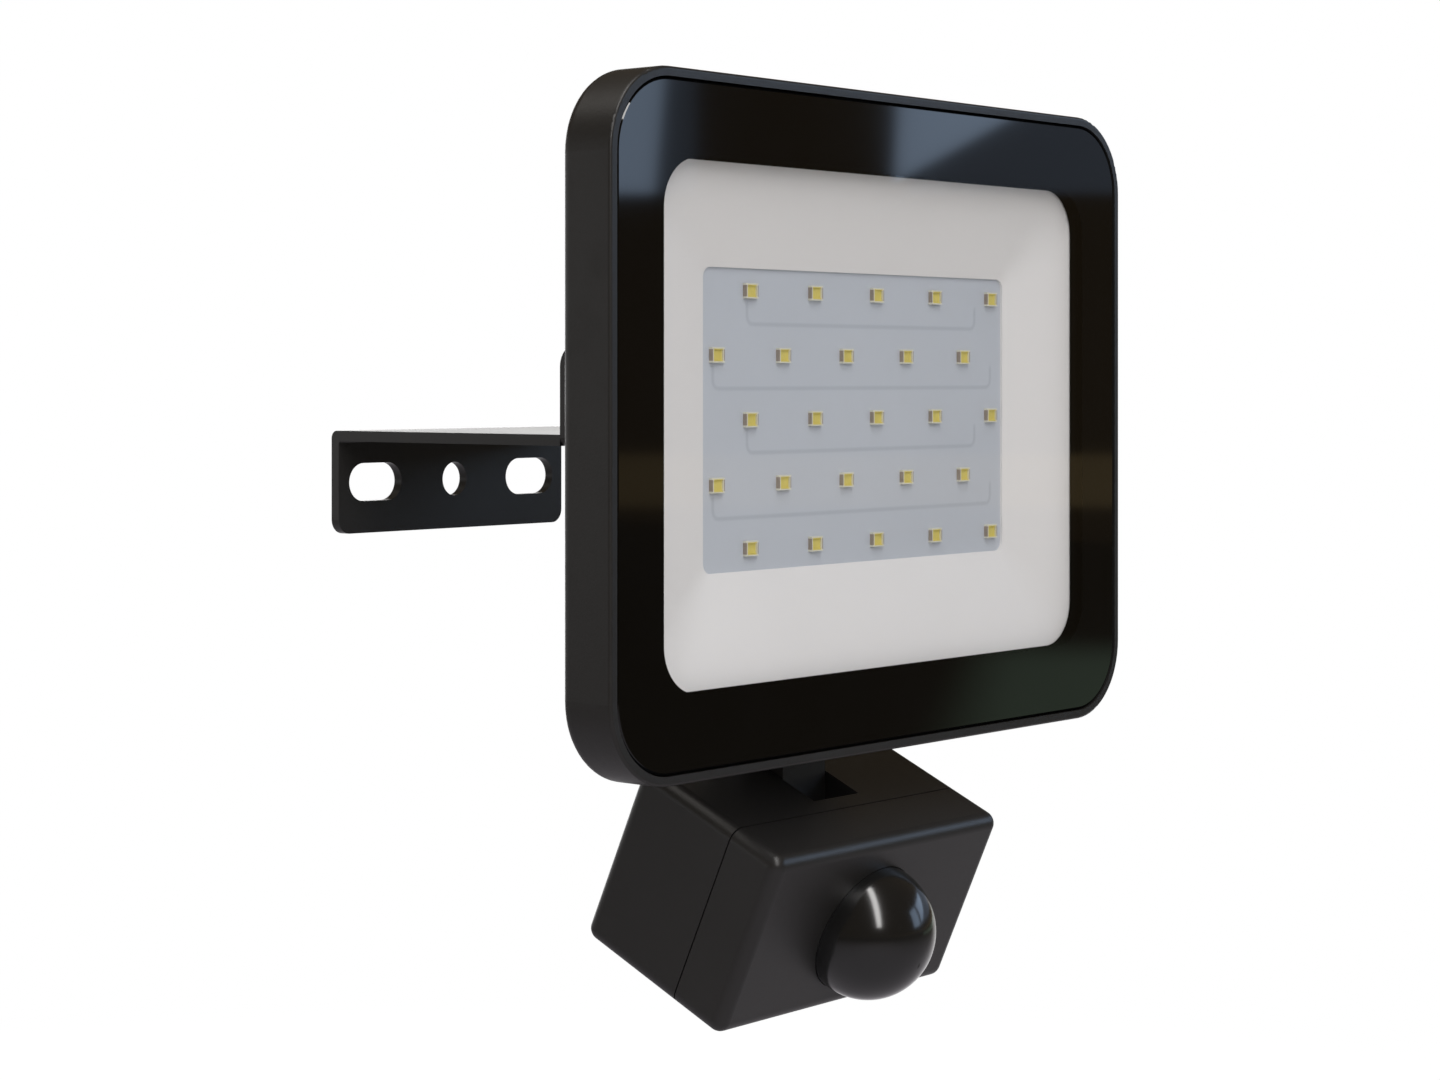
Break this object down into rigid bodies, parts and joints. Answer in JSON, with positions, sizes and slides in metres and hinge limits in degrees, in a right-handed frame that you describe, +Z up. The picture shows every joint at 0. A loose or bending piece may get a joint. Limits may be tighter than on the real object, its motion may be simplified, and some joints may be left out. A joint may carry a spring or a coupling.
{
  "type": "motion sensor floodlight",
  "caption": "Slim LED floodlight on a bent wall bracket, with a swivelling motion sensor head below it.",
  "frame": {"origin": "centre of the bracket's middle hole, on the wall face", "axes": "+Y into the wall, +Z up, the light shines along -Y"},
  "size_m": [0.16, 0.1279, 0.1752],
  "materials": {
    "black_powder_coat": "satin powder coat",
    "coated_casting": "die cast, satin powder coat",
    "window_glass": "tempered, clear, with a printed black border",
    "white_moulding": "matt white",
    "board_white": "white solder mask on aluminium core",
    "led_package": "phosphor in a white frame",
    "plated_steel": "zinc plated",
    "black_rubber": "silicone",
    "grey_pad": "soft thermal pad",
    "circuit_board": "green solder mask",
    "black_component": "moulded epoxy",
    "capacitor_sleeve": "shrunk sleeve",
    "ferrite_and_tape": "ferrite with yellow tape",
    "terminal_plastic": "moulded",
    "brass": "turned",
    "black_plastic": "fine matt grain",
    "gloss_black": "polished, dark infrared-passing",
    "blue_component": "moulded",
    "knob_grey": "moulded"
  },
  "bodies": {
    "bracket": {"wall_bracket": "black_powder_coat"},
    "lamp": {"lamp_housing": "coated_casting", "front_glass": "window_glass", "glass_seal": "black_rubber", "reflector": "white_moulding", "led_board": "board_white", "led_chips": "led_package", "led_board_screws": "plated_steel", "thermal_pad": "grey_pad", "driver_board": "circuit_board", "driver_board_screws": "plated_steel", "driver_capacitors": "capacitor_sleeve", "driver_transformer": "ferrite_and_tape", "driver_chip": "black_component", "terminal_block": "terminal_plastic", "terminal_screws": "plated_steel", "earth_screw": "brass", "cover_seal": "black_rubber", "driver_cover": "coated_casting", "cover_screws": "plated_steel", "gland_body": "black_plastic", "gland_locknut": "black_plastic", "gland_nut": "black_plastic", "gland_sleeve": "black_rubber", "pivot_bolts": "plated_steel", "pivot_washers": "plated_steel", "friction_washers": "black_rubber"},
    "neck": {"sensor_neck": "black_plastic", "neck_seal": "black_rubber"},
    "sensor_head": {"sensor_front_shell": "black_plastic", "sensor_rear_shell": "black_plastic", "shell_seal": "black_rubber", "shell_screws": "plated_steel", "lens_dome": "gloss_black", "sensor_board": "circuit_board", "infrared_detector": "plated_steel", "sensor_relay": "black_component", "sensor_capacitor": "capacitor_sleeve", "trimmers": "blue_component", "trimmer_board": "circuit_board", "tilt_pin": "plated_steel", "tilt_pin_nut": "plated_steel"},
    "sensitivity_knob": {"sensitivity_knob": "knob_grey"},
    "time_knob": {"time_knob": "knob_grey"},
    "light_level_knob": {"light_level_knob": "knob_grey"}
  },
  "joints": [
    {"name": "lamp_tilt", "type": "hinge", "parent": "bracket", "child": "lamp", "pos_m": [0, -0.0755, 0.018], "axis": [1, 0, 0], "range_deg": [-90, 35]},
    {"name": "neck_swivel", "type": "hinge", "parent": "lamp", "child": "neck", "pos_m": [0, -0.0957, -0.0664], "axis": [0, 0, 1], "range_deg": [-40, 40]},
    {"name": "sensor_tilt", "type": "hinge", "parent": "neck", "child": "sensor_head", "pos_m": [0, -0.0957, -0.0664], "axis": [1, 0, 0], "range_deg": [-35, 40]},
    {"name": "sensitivity_turn", "type": "hinge", "parent": "sensor_head", "child": "sensitivity_knob", "pos_m": [-0.017, -0.08286, -0.09155], "axis": [0, 0.4067, -0.9135], "range_deg": [-135, 135]},
    {"name": "time_turn", "type": "hinge", "parent": "sensor_head", "child": "time_knob", "pos_m": [0, -0.08286, -0.09155], "axis": [0, 0.4067, -0.9135], "range_deg": [-135, 135]},
    {"name": "light_level_turn", "type": "hinge", "parent": "sensor_head", "child": "light_level_knob", "pos_m": [0.017, -0.08286, -0.09155], "axis": [0, 0.4067, -0.9135], "range_deg": [-135, 135]}
  ]
}
